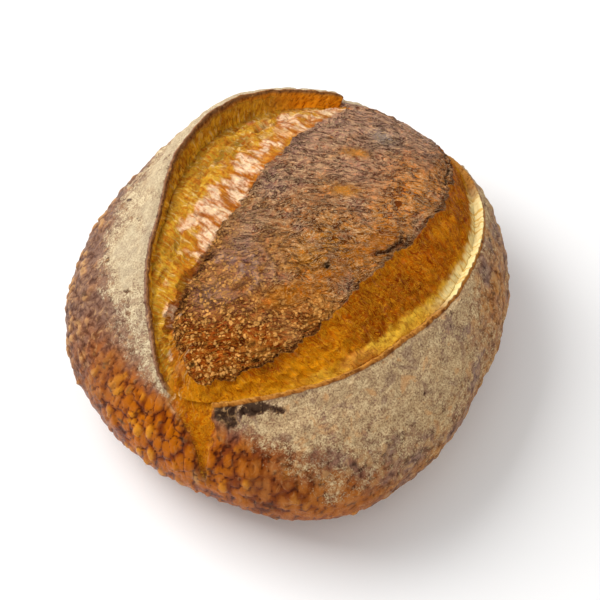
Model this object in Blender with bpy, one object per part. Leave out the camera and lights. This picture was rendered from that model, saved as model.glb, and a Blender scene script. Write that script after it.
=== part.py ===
"""A round sourdough loaf with two curved scores and a lifted ear, as one closed solid.

+X runs along the scores, from the point where they nearly meet to their open end.
+Y is the side of the ear, +Z is up, and the loaf stands on z = 0.
"""
import math

import bmesh
import bpy
from mathutils import Vector

# Driving sizes of the round loaf, in metres
RADIUS = 0.118
HEIGHT = 0.108
GIRTH_HEIGHT = 0.042
FOOT_SHARE = 0.72
FULLNESS = 2.15
OVAL = ((2, 0.031, 0.022), (3, 0.011, 0.008), (4, -0.022, -0.010))

# On the flat pattern the top is 0, the girth is 1 and the edge of the foot is 1.6
GIRTH = 1.0
FOOT = 1.6
PATTERN_METRES = 0.145

# Sixteen stations share the turn round the scores, from the open end towards +Y.
# Each has its point on the edge of the crown and its point on the cut lip.
CROWN_EDGE = (
    (0.84, 0.00), (0.72, 0.11), (0.56, 0.17), (0.42, 0.18),
    (0.22, 0.165), (0.02, 0.16), (-0.20, 0.12), (-0.39, 0.09),
    (-0.48, 0.01), (-0.51, -0.08), (-0.33, -0.18), (-0.10, -0.225),
    (0.12, -0.26), (0.38, -0.26), (0.58, -0.215), (0.75, -0.12),
)
LIP_LINE = (
    (0.90, 0.00), (0.76, 0.14), (0.58, 0.24), (0.46, 0.37),
    (0.29, 0.48), (0.04, 0.48), (-0.197, 0.325), (-0.417, 0.16),
    (-0.59, 0.01), (-0.55, -0.13), (-0.335, -0.285), (-0.11, -0.42),
    (0.14, -0.50), (0.395, -0.455), (0.615, -0.345), (0.785, -0.18),
)
# Height of the lip over the dome, depth of the groove beside it, and how far the lip
# curls back over the groove, all in millimetres at the same stations
LIP_RISE = (0.0, 4.5, 5.0, 5.8, 8.0, 6.5, 2.5, 1.5, 1.5, 3.5, 1.5, 1.2, 1.2, 1.5, 1.5, 0.5)
GROOVE_DEPTH = (0.0, 2.0, 4.0, 6.0, 7.0, 6.0, 4.0, 3.0, 2.0, 2.0, 3.0, 3.5, 4.0, 4.5, 4.0, 1.5)
LIP_CURL = (0.0, 1.0, 2.5, 3.0, 3.0, 2.0, 1.0, 0.5, 0.5, 1.0, 0.5, 0.5, 0.5, 0.5, 0.5, 0.0)
MM = 0.001

# Each score as shares of the turn: where it starts, where it stops and how soon it fades
EAR_SCORE = (0.125, 0.008, 0.505, 0.020)
FLAP_SCORE = (0.559, 0.012, 0.99, 0.05)
CROWN_STEP = 0.0015       # the crown stands this far over the torn dough beside it
LIP_THICKNESS = 0.0024
LIP_REACH = 0.008         # a low lip eases into the side over this distance
LIP_REACH_PER_RISE = 2.0  # and a high one over this much more for each metre of rise

# The channel where the two scores meet and run down the side
CHANNEL = (
    (-0.50, -0.035, 0.070),
    (-0.575, -0.065, 0.072),
    (-0.635, -0.115, 0.060),
    (-0.69, -0.165, 0.040),
    (-0.93, -0.270, 0.022),
)
CHANNEL_DEPTH = 0.0022

# Mesh density
CROWN_CELLS = 24
BLOOM_RINGS = 6
SIDE_RINGS = 9
FOOT_RINGS = 5
TURN_STEPS = 4 * CROWN_CELLS * 64  # turns are rounded to this many steps, so that one spoke is met once


def clamp(value):
    return min(1.0, max(0.0, value))


def ease(value):
    value = clamp(value)
    return value * value * (3.0 - 2.0 * value)


def around(stations, turn):
    """Read a smooth closed curve through the stations, at a share of the turn."""
    count = len(stations)
    place = (turn % 1.0) * count
    first = int(place)
    part = place - first
    a, b, c, d = (stations[(first + step) % count] for step in (-1, 0, 1, 2))
    return b + 0.5 * part * (c - a + part * (2 * a - 5 * b + 4 * c - d + part * (3 * (b - c) + d - a)))


def plan_radius(bearing):
    """Half width of the loaf seen from above, a circle gone slightly oval."""
    radius = RADIUS
    for waves, cosine, sine in OVAL:
        radius *= 1 + cosine * math.cos(waves * bearing) + sine * math.sin(waves * bearing)
    return radius


def dome(point):
    """Fold a point of the flat pattern onto the plain dome: its place and its outward normal."""
    reach = point.length
    bearing = math.atan2(point.y, point.x)
    outward = Vector((math.cos(bearing), math.sin(bearing), 0.0))
    radius = plan_radius(bearing)
    if reach <= GIRTH:
        angle = reach * math.pi / 2
        across = math.sin(angle) ** (2 / FULLNESS)
        rise = math.cos(angle) ** (2 / FULLNESS)
        place = outward * radius * across
        place.z = GIRTH_HEIGHT + (HEIGHT - GIRTH_HEIGHT) * rise
        normal = outward * (across ** (FULLNESS - 1) / radius)
        normal.z = rise ** (FULLNESS - 1) / (HEIGHT - GIRTH_HEIGHT)
        return place, normal.normalized()
    angle = clamp((reach - GIRTH) / (FOOT - GIRTH)) * math.pi / 2
    foot = radius * FOOT_SHARE
    place = outward * (foot + (radius - foot) * math.cos(angle))
    place.z = GIRTH_HEIGHT * (1 - math.sin(angle))
    normal = outward * (math.cos(angle) / (radius - foot))
    normal.z = -math.sin(angle) / GIRTH_HEIGHT
    return place, normal.normalized()


def channel_drop(point):
    """How deep the channel from the meeting scores lies at a point of the pattern."""
    nearest = 9.0
    for start, end in zip(CHANNEL, CHANNEL[1:]):
        run = Vector(end[:2]) - Vector(start[:2])
        share = clamp((point - Vector(start[:2])).dot(run) / run.length_squared)
        gap = (point - Vector(start[:2]) - run * share).length
        nearest = min(nearest, gap / (start[2] + (end[2] - start[2]) * share))
    return CHANNEL_DEPTH * ease((1.35 - nearest) / 0.55)


def scored(turn):
    """1 along the two scores, 0 where the crust runs on unbroken between their ends."""
    cut = 0.0
    for start, start_fade, end, end_fade in (EAR_SCORE, FLAP_SCORE):
        cut = max(cut, ease((turn - start) / start_fade) * ease((end - turn) / end_fade))
    return cut


class Spoke:
    """One line of the pattern from the crown, across the score and down the side."""

    def __init__(self, turn):
        self.crown = around([Vector(p) for p in CROWN_EDGE], turn)
        self.lip = around([Vector(p) for p in LIP_LINE], turn)
        cut = scored(turn)
        self.rise = max(0.0, around(LIP_RISE, turn)) * MM * cut
        self.groove = max(0.0, around(GROOVE_DEPTH, turn)) * MM * cut
        self.curl = max(0.0, around(LIP_CURL, turn)) * MM * cut
        self.step = CROWN_STEP * clamp(self.groove / (3 * MM))
        bearing = math.atan2(self.lip.y, self.lip.x) % math.tau
        if turn < 0.25 and bearing > math.pi:
            bearing -= math.tau
        bearing = (bearing + turn * math.tau) / 2
        self.girth = Vector((math.cos(bearing), math.sin(bearing)))
        self.outward = (self.lip - self.crown).normalized()

    def bloom(self, share):
        """The torn dough, from the crown edge at 0 down to the groove under the lip at 1."""
        point = self.crown.lerp(self.lip, share)
        lift = -self.step * ease(share * 6) - (self.groove - self.step) * ease(share) ** 1.5
        return point, lift, 0.0

    def lip_rings(self):
        """The inner wall of the lip, its crest and its outer edge."""
        width = LIP_THICKNESS / PATTERN_METRES
        middle = (self.rise - self.groove) / 2
        return (
            (self.lip + self.outward * width * 0.3, middle, self.curl * 0.4),
            (self.lip + self.outward * width * 0.4, self.rise * 0.85, self.curl),
            (self.lip + self.outward * width * 0.8, self.rise, self.curl),
            (self.lip + self.outward * width * 1.4, self.rise * 0.92, self.curl * 0.8),
        )

    def side(self, share):
        """The crust outside the lip, down to the girth."""
        start, rise, curl = self.lip_rings()[-1]
        point = start.lerp(self.girth, share)
        gone = (point - start).length * PATTERN_METRES
        left = 1 - ease(gone / (LIP_REACH + LIP_REACH_PER_RISE * self.rise))
        return point, rise * left, curl * left

    def foot(self, share):
        """The underside, from the girth to the edge of the flat foot."""
        return self.girth * (GIRTH + (FOOT - GIRTH) * share), 0.0, 0.0


def ring_recipe():
    """Every ring outside the crown, in order, as a function from a spoke to its point."""
    rings = []
    for step in range(1, BLOOM_RINGS + 1):
        rings.append(lambda spoke, share=step / BLOOM_RINGS: spoke.bloom(share))
    for step in range(4):
        rings.append(lambda spoke, index=step: spoke.lip_rings()[index])
    for step in range(1, SIDE_RINGS + 1):
        rings.append(lambda spoke, share=(step / SIDE_RINGS) ** 1.35: spoke.side(share))
    for step in range(1, FOOT_RINGS + 1):
        rings.append(lambda spoke, share=step / FOOT_RINGS: spoke.foot(share))
    return rings


def disc_from_square(x, y):
    """Turn a square grid into a round one whose rim points share the turn evenly."""
    if x == 0 and y == 0:
        return Vector((0.0, 0.0, 0.0))
    if abs(x) > abs(y):
        radius = x
        angle = math.pi / 4 * y / x
    else:
        radius = y
        angle = math.pi / 2 - math.pi / 4 * x / y
    return Vector((radius * math.cos(angle), radius * math.sin(angle), 0.0))


def flat_pattern(ring_count):
    """A round grid for the crown, extruded outward once for each ring."""
    mesh = bmesh.new()
    bmesh.ops.create_grid(mesh, x_segments=CROWN_CELLS, y_segments=CROWN_CELLS, size=1.0)
    for vert in mesh.verts:
        vert.co = disc_from_square(vert.co.x, vert.co.y)
    rim = [edge for edge in mesh.edges if edge.is_boundary]
    for ring in range(ring_count):
        grown = bmesh.ops.extrude_edge_only(mesh, edges=rim)["geom"]
        new_verts = {item for item in grown if isinstance(item, bmesh.types.BMVert)}
        for vert in new_verts:
            vert.co = vert.co.normalized() * (ring + 2)
        rim = [edge for edge in mesh.edges if edge.is_boundary]
    bmesh.ops.contextual_create(mesh, geom=rim)
    return mesh


def fold_pattern(mesh, rings):
    """Move each point of the flat pattern to its place on the loaf."""
    middle = sum((Vector(p) for p in CROWN_EDGE), Vector((0.0, 0.0))) / len(CROWN_EDGE)
    spokes = {}
    for vert in mesh.verts:
        turn = math.atan2(vert.co.y, vert.co.x) / math.tau % 1.0
        turn = round(turn * TURN_STEPS) / TURN_STEPS
        if turn not in spokes:
            spokes[turn] = Spoke(turn % 1.0)
        spoke = spokes[turn]
        ring = round(vert.co.length) - 2
        if vert.co.length < 1.5:
            point = middle.lerp(spoke.crown, min(1.0, vert.co.length))
            lift = 0.0
            lean = 0.0
        else:
            point, lift, lean = rings[ring](spoke)
        place, normal = dome(point)
        inward, _ = dome(point - spoke.outward * 0.02)
        inward = (inward - place).normalized()
        vert.co = place + normal * (lift - channel_drop(point)) + inward * lean


def stand_on_origin(mesh):
    """Centre the loaf on the origin, with its flat foot at z = 0."""
    xs = [vert.co.x for vert in mesh.verts]
    ys = [vert.co.y for vert in mesh.verts]
    middle = Vector(((min(xs) + max(xs)) / 2, (min(ys) + max(ys)) / 2, 0.0))
    bmesh.ops.translate(mesh, verts=mesh.verts, vec=-middle)


def crust_material():
    material = bpy.data.materials.new("crust")
    material.use_nodes = True
    shader = material.node_tree.nodes["Principled BSDF"]
    shader.inputs["Base Color"].default_value = (0.36, 0.16, 0.05, 1.0)
    shader.inputs["Roughness"].default_value = 0.62
    shader.inputs["Metallic"].default_value = 0.0
    return material


def build_loaf():
    rings = ring_recipe()
    mesh = flat_pattern(len(rings))
    fold_pattern(mesh, rings)
    stand_on_origin(mesh)
    bmesh.ops.recalc_face_normals(mesh, faces=mesh.faces)
    data = bpy.data.meshes.new("sourdough_loaf")
    mesh.to_mesh(data)
    mesh.free()
    data.shade_smooth()
    data.materials.append(crust_material())
    loaf = bpy.data.objects.new("sourdough_loaf", data)
    bpy.context.scene.collection.objects.link(loaf)
    return loaf


for item in list(bpy.data.objects):
    bpy.data.objects.remove(item)
build_loaf()
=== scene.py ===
# %% [markdown]
# # A round sourdough loaf
#
# This lesson makes the crust of a loaf around a plain solid of the same size. The solid is loaded first and
# is only a frame: it gives the loaf's length, width and height, and it is hidden under the finished crust.

# %% Load the frame
import math

import bmesh
import bpy
import numpy as np
from mathutils import Matrix, Vector, noise


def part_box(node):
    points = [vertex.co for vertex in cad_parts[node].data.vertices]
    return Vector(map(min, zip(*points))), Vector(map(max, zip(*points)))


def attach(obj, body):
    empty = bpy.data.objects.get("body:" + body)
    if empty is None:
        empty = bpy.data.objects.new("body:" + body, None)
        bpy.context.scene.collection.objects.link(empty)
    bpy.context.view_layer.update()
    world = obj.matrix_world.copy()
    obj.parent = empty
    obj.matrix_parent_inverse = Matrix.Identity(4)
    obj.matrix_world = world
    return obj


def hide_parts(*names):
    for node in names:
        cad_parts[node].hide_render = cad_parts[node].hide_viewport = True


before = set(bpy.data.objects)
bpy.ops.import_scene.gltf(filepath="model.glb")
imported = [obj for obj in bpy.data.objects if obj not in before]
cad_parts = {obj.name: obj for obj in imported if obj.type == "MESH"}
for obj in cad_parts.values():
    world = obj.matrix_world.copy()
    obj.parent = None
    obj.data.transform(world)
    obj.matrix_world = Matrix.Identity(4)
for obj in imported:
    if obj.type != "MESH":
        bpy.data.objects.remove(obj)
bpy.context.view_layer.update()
low, high = (Vector(corner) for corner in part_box("sourdough_loaf"))
LENGTH, WIDTH, HEIGHT = high - low
MM = 0.001
print(f"the loaf is {LENGTH:.3f} m long, {WIDTH:.3f} m wide and {HEIGHT:.3f} m tall")

# %% [markdown]
# ## Camera
#
# The loaf is looked down on, from the side of the wide floured crust. A long lens from about 0.9 m keeps
# the perspective gentle. The camera is turned by hand-built axes: where it looks from, what is to its right
# and what is up.

# %% Camera
CAMERA_BEARING = math.radians(-52)
CAMERA_RISE = math.radians(60)
CAMERA_DISTANCE = 0.884
LENS = 100
AIM = Vector((-0.0022, -0.0050, 0.0463))

back = Vector((
    math.sin(CAMERA_BEARING) * math.cos(CAMERA_RISE),
    -math.cos(CAMERA_BEARING) * math.cos(CAMERA_RISE),
    math.sin(CAMERA_RISE),
))
right = Vector((math.cos(CAMERA_BEARING), math.sin(CAMERA_BEARING), 0))
camera = bpy.data.objects.new("camera", bpy.data.cameras.new("camera"))
camera.data.lens = LENS
camera.matrix_world = Matrix.Translation(AIM + back * CAMERA_DISTANCE) @ Matrix(
    (right, back.cross(right), back)).transposed().to_4x4()
bpy.context.scene.collection.objects.link(camera)
bpy.context.scene.camera = camera
bpy.context.scene.view_settings.view_transform = "Standard"
print("camera at", [round(part, 3) for part in camera.location])

# %% [markdown]
# ## Light and floor
#
# Bread needs one clear light from the side, so that each wrinkle and blister has a lit and a shaded flank,
# and enough fill that the shadows stay warm. A square area lamp stands behind the ear, to the camera's
# left, and a white world fills in.

# %% Light and floor
KEY_FROM = (-right * 0.75 + Vector((0.25, 0.30, 0.0)) + Vector((0, 0, 1.05))) * 1.1
KEY_SIZE = 1.05
KEY_WATTS = 21
FILL = 0.70


def add_lamp(name, place, size, watts):
    """A square lamp that faces the loaf."""
    lamp = bpy.data.objects.new(name, bpy.data.lights.new(name, "AREA"))
    lamp.data.size = size
    lamp.data.energy = watts
    turn = (place - AIM).to_track_quat("Z", "Y").to_matrix().to_4x4()
    lamp.matrix_world = Matrix.Translation(place) @ turn
    bpy.context.scene.collection.objects.link(lamp)


add_lamp("key", KEY_FROM, KEY_SIZE, KEY_WATTS)
world = bpy.data.worlds.new("fill")
world.use_nodes = True
world.node_tree.nodes["Background"].inputs["Color"].default_value = (1, 1, 1, 1)
world.node_tree.nodes["Background"].inputs["Strength"].default_value = FILL
bpy.context.scene.world = world

board = bmesh.new()
bmesh.ops.create_grid(board, x_segments=1, y_segments=1, size=3)
floor_mesh = bpy.data.meshes.new("floor")
board.to_mesh(floor_mesh)
board.free()
floor = bpy.data.objects.new("floor", floor_mesh)
bpy.context.scene.collection.objects.link(floor)
floor_paint = bpy.data.materials.new("pale floor")
floor_paint.use_nodes = True
floor_sockets = floor_paint.node_tree.nodes["Principled BSDF"].inputs
floor_sockets["Base Color"].default_value = (0.93, 0.925, 0.92, 1)
floor_sockets["Roughness"].default_value = 0.9
floor_mesh.materials.append(floor_paint)
print("floor and lamps are in place")

# %% [markdown]
# ## The plan of the scores
#
# A baker cuts the risen loaf twice, in two arcs like brackets. In the oven the cuts open, and the torn
# dough between the crown and each lip is golden and stringy. The plan is drawn on a flat pattern: the top
# of the loaf is the centre, the widest line round the side is the circle of radius 1, and the edge of the
# flat foot is the circle of radius 1.6. Sixteen stations go round the scores, and every curve between them
# is read smoothly.

# %% Stations round the scores
CROWN_EDGE = (
    (0.84, 0.00), (0.72, 0.11), (0.56, 0.17), (0.42, 0.18),
    (0.22, 0.165), (0.02, 0.16), (-0.20, 0.12), (-0.39, 0.09),
    (-0.48, 0.01), (-0.51, -0.08), (-0.33, -0.18), (-0.10, -0.225),
    (0.12, -0.26), (0.38, -0.26), (0.58, -0.215), (0.75, -0.12),
)
LIP_LINE = (
    (0.90, 0.00), (0.76, 0.14), (0.58, 0.24), (0.46, 0.37),
    (0.29, 0.48), (0.04, 0.48), (-0.197, 0.325), (-0.417, 0.16),
    (-0.59, 0.01), (-0.55, -0.13), (-0.335, -0.285), (-0.11, -0.42),
    (0.14, -0.50), (0.395, -0.455), (0.615, -0.345), (0.785, -0.18),
)
LIP_RISE = (0.0, 4.5, 5.0, 5.8, 8.0, 6.5, 2.5, 1.5, 1.5, 3.5, 1.5, 1.2, 1.2, 1.5, 1.5, 0.5)
GROOVE_DEPTH = (0.0, 2.0, 4.0, 6.0, 7.0, 6.0, 4.0, 3.0, 2.0, 2.0, 3.0, 3.5, 4.0, 4.5, 4.0, 1.5)
LIP_CURL = (0.0, 1.0, 2.5, 3.0, 3.0, 2.0, 1.0, 0.5, 0.5, 1.0, 0.5, 0.5, 0.5, 0.5, 0.5, 0.0)
EAR_SCORE = (0.125, 0.004, 0.505, 0.020)
FLAP_SCORE = (0.559, 0.008, 0.99, 0.05)


def ease(share):
    """A soft step from 0 to 1."""
    share = np.clip(share, 0, 1)
    return share * share * (3 - 2 * share)


def around(stations, turn):
    """Read a smooth closed curve through the stations, at shares of the turn."""
    stations = np.array(stations, float)
    place = np.mod(turn, 1) * len(stations)
    first = np.floor(place).astype(int)
    part = place - first
    if stations.ndim == 2:
        part = part[:, None]
    a, b, c, d = (stations[(first + step) % len(stations)] for step in (-1, 0, 1, 2))
    return b + 0.5 * part * (c - a + part * (2 * a - 5 * b + 4 * c - d + part * (3 * (b - c) + d - a)))


def scored(turn):
    """1 along the two scores, 0 where the crust runs on unbroken between their ends."""
    cut = np.zeros_like(turn)
    for start, start_fade, end, end_fade in (EAR_SCORE, FLAP_SCORE):
        cut = np.maximum(cut, ease((turn - start) / start_fade) * ease((end - turn) / end_fade))
    return cut


print("the cuts cover", round(float(scored(np.linspace(0, 1, 1000)).mean() * 100)), "percent of the turn")

# %% [markdown]
# ## The flat pattern
#
# The crust is one skin, so it is made as one round sheet. A square grid is bent into a disc for the crown,
# and its rim is extruded outward ring by ring: torn dough, lip, side, underside and foot. The grid avoids a
# pinched pole in the middle of the crown, and the rings let every score have its own rows of points. Each
# point keeps its turn and its ring as its distance and direction from the centre, so no list of faces is
# ever written.

# %% Flat pattern
CROWN_CELLS = 148
RINGS = (("torn", 36), ("lip", 12), ("side", 50), ("under", 20), ("foot", 5))
RING_COUNT = sum(count for _, count in RINGS)


def disc_from_square(x, y):
    """Bend a square grid into a round one whose rim points share the turn evenly."""
    if x == 0 and y == 0:
        return Vector((0, 0, 0))
    if abs(x) > abs(y):
        radius, angle = x, math.pi / 4 * y / x
    else:
        radius, angle = y, math.pi / 2 - math.pi / 4 * x / y
    return Vector((radius * math.cos(angle), radius * math.sin(angle), 0))


sheet = bmesh.new()
bmesh.ops.create_grid(sheet, x_segments=CROWN_CELLS, y_segments=CROWN_CELLS, size=1)
for point in sheet.verts:
    point.co = disc_from_square(point.co.x, point.co.y)
rim = [edge for edge in sheet.edges if edge.is_boundary]
for ring in range(RING_COUNT):
    grown = bmesh.ops.extrude_edge_only(sheet, edges=rim)["geom"]
    new_points = {item for item in grown if isinstance(item, bmesh.types.BMVert)}
    for point in new_points:
        point.co = point.co.normalized() * (ring + 2)
    new_edges = [item for item in grown if isinstance(item, bmesh.types.BMEdge)]
    rim = [edge for edge in new_edges if new_points.issuperset(edge.verts)]
bmesh.ops.contextual_create(sheet, geom=rim)
crust = bpy.data.meshes.new("crust")
sheet.to_mesh(crust)
sheet.free()
print("flat pattern:", len(crust.vertices), "points,", len(crust.polygons), "faces")

# %% [markdown]
# Every point's turn and ring are read back into arrays. From here on the loaf is shaped as a sculptor
# would: the faces stay, and whole regions of points are moved at once.

# %% Read turn and ring
flat = np.empty(len(crust.vertices) * 3)
crust.vertices.foreach_get("co", flat)
flat = flat.reshape(-1, 3)
reach = np.hypot(flat[:, 0], flat[:, 1])
turn = np.mod(np.arctan2(flat[:, 1], flat[:, 0]) / math.tau, 1)
turn[turn > 0.99999] = 0
ring = np.round(reach).astype(int) - 2
ring[reach < 1.5] = -1

region = {"crown": ring < 0}
share = {}
last_ring = {}
first = 0
for name, count in RINGS:
    region[name] = (ring >= first) & (ring < first + count)
    share[name] = (ring - first + 1) / count
    first += count
    last_ring[name] = first - 1
print({name: int(points.sum()) for name, points in region.items()})

# %% [markdown]
# ## The dome
#
# A risen loaf is a flattened dome: a full, slightly boxy curve above its widest line and a quarter of an
# ellipse tucked in below it. Seen from above it has gone a little oval. The oval is drawn at unit size,
# measured, and scaled so that it is as long as the solid.

# %% Dome
GIRTH_HEIGHT = 0.39 * HEIGHT
FOOT_SHARE = 0.72
FULLNESS = 2.15
OVAL = ((2, 0.031, 0.022), (3, 0.011, 0.008), (4, -0.022, -0.010))
GIRTH = 1.0
FOOT = 1.6
PATTERN_METRES = 0.145


def oval(bearing):
    """How far the loaf reaches in each direction, for a mean of 1."""
    size = np.ones_like(bearing)
    for waves, cosine, sine in OVAL:
        size = size * (1 + cosine * np.cos(waves * bearing) + sine * np.sin(waves * bearing))
    return size


bearings = np.linspace(0, math.tau, 1440, endpoint=False)
outline = oval(bearings)[:, None] * np.stack([np.cos(bearings), np.sin(bearings)], 1)
RADIUS = LENGTH / float(np.ptp(outline[:, 0]))
middle = RADIUS * (outline.max(0) + outline.min(0)) / 2
print(f"mean radius {RADIUS:.4f} m")


def dome(pattern):
    """Fold points of the flat pattern onto the plain dome: their places and outward normals."""
    away = np.hypot(pattern[:, 0], pattern[:, 1])
    bearing = np.arctan2(pattern[:, 1], pattern[:, 0])
    radius = RADIUS * oval(bearing)
    foot = radius * FOOT_SHARE
    upper = away <= GIRTH
    top = np.clip(away, 0, GIRTH) * math.pi / 2
    below = np.clip((away - GIRTH) / (FOOT - GIRTH), 0, 1) * math.pi / 2
    across = np.sin(top) ** (2 / FULLNESS)
    rise = np.clip(np.cos(top), 0, 1) ** (2 / FULLNESS)
    wide = np.where(upper, radius * across, foot + (radius - foot) * np.cos(below))
    wide = wide * np.clip(1 - (away - FOOT), 0, 1) ** np.where(away > FOOT, 1, 0)
    tall = np.where(upper, GIRTH_HEIGHT + (HEIGHT - GIRTH_HEIGHT) * rise, GIRTH_HEIGHT * (1 - np.sin(below)))
    tilt_out = np.where(upper, across ** (FULLNESS - 1) / radius, np.cos(below) / (radius - foot))
    tilt_up = np.where(upper, rise ** (FULLNESS - 1) / (HEIGHT - GIRTH_HEIGHT), -np.sin(below) / GIRTH_HEIGHT)
    size = np.hypot(tilt_out, tilt_up)
    ahead = np.stack([np.cos(bearing), np.sin(bearing)], 1)
    place = np.column_stack([ahead * wide[:, None] - middle, tall])
    normal = np.column_stack([ahead * (tilt_out / size)[:, None], tilt_up / size])
    return place, normal


# %% [markdown]
# ## Noise for the shape
#
# Nothing baked is regular, so most outlines are roughened. Blender's own noise is read at each point, at a
# size given in metres. It is the same on every run.

# %% Noise helpers
SEED_STEP = 17.3


def bumps(points, size, octaves=2, seed=0):
    """Soft bumps of about this size, from -1 to 1. The size may differ along the three axes."""
    spots = points / np.array(size) + seed * SEED_STEP
    return np.array([noise.fractal(spot, 1.0, 2.0, octaves) for spot in spots.tolist()])


def on_circle(turn, size):
    """Points round a circle, so that noise along the turn meets itself; size is a share of the turn."""
    radius = 1 / (math.tau * size)
    angle = turn * math.tau
    return np.column_stack([np.cos(angle) * radius, np.sin(angle) * radius, np.zeros_like(turn)])


def ragged(turn, size, octaves=2, seed=0):
    """Noise along the turn, worked out once for each spoke and shared by its points."""
    spokes, back_to_points = np.unique(np.round(turn, 7), return_inverse=True)
    return bumps(on_circle(spokes, size), 1.0, octaves, seed)[back_to_points]


sample = ragged(turn, 0.02)
print(f"raggedness runs from {sample.min():.2f} to {sample.max():.2f}")

# %% [markdown]
# ## Folding the pattern
#
# Each region finds its points between the curves: the crown fills the inner curve, the torn dough spans
# from it to the lip, the lip rolls over, and the side runs down to the girth. Each region also gives a lift
# off the dome and a lean towards the crown, which curls the ear over its groove.

# %% Score curves
CROWN_RAGGED = 0.018
LIP_RAGGED = 0.004
CROWN_STEP = 1.5 * MM
LIP_THICKNESS = 2.4 * MM

cut = scored(turn)
torn_room = np.clip(cut, 0.15, 1)[:, None]
crown_edge = around(CROWN_EDGE, turn)
lip_line = around(LIP_LINE, turn)
outward = lip_line - crown_edge
outward /= np.hypot(outward[:, 0], outward[:, 1])[:, None]
edge_wobble = ragged(turn, 0.012, 3, 1) * CROWN_RAGGED + ragged(turn, 0.0035, 2, 2) * CROWN_RAGGED * 0.4
smooth_crown_edge = crown_edge
crown_edge = crown_edge + outward * edge_wobble[:, None] * torn_room
lip_line = lip_line + outward * (ragged(turn, 0.006, 3, 3) * LIP_RAGGED)[:, None] * torn_room

rise = np.clip(around(LIP_RISE, turn), 0, None) * MM * cut
groove = np.clip(around(GROOVE_DEPTH, turn), 0, None) * MM * cut
curl = np.clip(around(LIP_CURL, turn), 0, None) * MM * cut
smooth_rise = rise
rise = rise * (1 + 0.16 * ragged(turn, 0.018, 2, 4)) + 0.3 * MM * ragged(turn, 0.004, 2, 5) * cut
step = CROWN_STEP * np.clip(groove / (3 * MM), 0, 1) * np.where(turn < 0.5, 0.3, 1.0)
print("the ear stands", round(float(rise.max() / MM), 1), "mm off the dome")

# %% [markdown]
# The lip's section is a short list of points, from the bottom of the groove up the inner wall, over the
# crest and down to the floured side. Sideways it is measured in thicknesses of the lip, upwards from the
# groove at 0 to the crest at 1.

# %% Lip section
LIP_SECTION = (
    (0.10, 0.06), (0.18, 0.20), (0.22, 0.36), (0.24, 0.52), (0.24, 0.67), (0.26, 0.80),
    (0.32, 0.90), (0.45, 0.97), (0.65, 1.00), (0.90, 1.00), (1.15, 0.98), (1.45, 0.95),
)
LIP_REACH = 8 * MM
LIP_REACH_PER_RISE = 2.0

pattern = np.zeros((len(flat), 2))
lift = np.zeros(len(flat))
lean = np.zeros(len(flat))
section = np.array(LIP_SECTION)

crown_middle = np.array(CROWN_EDGE).mean(0)
inside = np.clip(reach, 0, 1)[:, None]
crown_points = crown_middle + (smooth_crown_edge - crown_middle) * inside
crown_points += (crown_edge - smooth_crown_edge) * inside ** 5
pattern = np.where(region["crown"][:, None], crown_points, pattern)

torn = region["torn"]
torn_share = share["torn"]
pattern[torn] = (crown_edge + (lip_line - crown_edge) * torn_share[:, None])[torn]
lift[torn] = (-step * ease(torn_share * 6) - (groove - step) * ease(torn_share) ** 1.5)[torn]

lip = region["lip"]
row = np.clip(np.round(share["lip"] * len(section)).astype(int) - 1, 0, len(section) - 1)
lip_width = LIP_THICKNESS / PATTERN_METRES
pattern[lip] = (lip_line + outward * (section[row, 0] * lip_width)[:, None])[lip]
lift[lip] = (-groove + (rise + groove) * section[row, 1])[lip]
lean[lip] = (curl * ease(section[row, 1]))[lip]

lip_bearing = np.mod(np.arctan2(lip_line[:, 1], lip_line[:, 0]), math.tau)
lip_bearing = np.where((turn < 0.25) & (lip_bearing > math.pi), lip_bearing - math.tau, lip_bearing)
girth_bearing = (lip_bearing + turn * math.tau) / 2
girth = np.stack([np.cos(girth_bearing), np.sin(girth_bearing)], 1)

side = region["side"]
side_share = np.clip(share["side"], 0, 1)[:, None] ** 1.12
side_start = lip_line + outward * section[-1, 0] * lip_width
side_points = side_start + (girth - side_start) * side_share
pattern[side] = side_points[side]
gone = np.hypot(*(side_points - side_start).T) * PATTERN_METRES
left = 1 - ease(gone / (LIP_REACH + LIP_REACH_PER_RISE * smooth_rise))
lift_start = -groove + (rise + groove) * section[-1, 1]
settled = ease(gone / (4 * MM))
lift[side] = ((lift_start + (smooth_rise - lift_start) * settled) * left)[side]
lean[side] = (curl * left)[side]

for name, start, end in (("under", GIRTH, FOOT), ("foot", FOOT, FOOT + 0.9)):
    pattern[region[name]] = (girth * (start + (end - start) * share[name])[:, None])[region[name]]

place, normal = dome(pattern)
ahead, _ = dome(pattern - outward * 0.02)
inward = ahead - place
inward /= np.linalg.norm(inward, axis=1)[:, None] + 1e-9
print("folded", len(place), "points onto the dome")

# %% [markdown]
# ## Where each point lies along the grain
#
# Torn dough stretches straight across the cut, so its strands run from the crown to the lip. For them every
# point needs two lengths: how far along the score it is, and how far across it. They shape the strands
# here, and later they become a UV map for the finish.

# %% Grain lengths
spokes, spoke_of = np.unique(np.round(turn, 7), return_inverse=True)
mid_curve = (around(CROWN_EDGE, spokes) + around(LIP_LINE, spokes)) / 2
hops = np.hypot(*(np.roll(mid_curve, -1, 0) - mid_curve).T) * PATTERN_METRES
run = np.concatenate([[0], np.cumsum(hops)])
SCORE_LENGTH = float(run[-1])
along_score = run[spoke_of]
climbed = np.where(lip, (rise + groove) * section[row, 1], 0)
climbed = climbed + np.where(ring > last_ring["lip"], rise + groove, 0)
across_score = np.hypot(*(pattern - crown_edge).T) * PATTERN_METRES + climbed
crown_gap = np.hypot(*(pattern - smooth_crown_edge).T) * PATTERN_METRES / MM
crown_gap = np.where(region["crown"], -crown_gap, crown_gap)
print(f"the scores are {SCORE_LENGTH:.2f} m round")

# %% [markdown]
# ## The channel
#
# At the pointed end the two cuts run into each other, and the torn dough pours down the side in a funnel
# that narrows to a crease. The funnel follows a line whose width changes along it.

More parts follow.
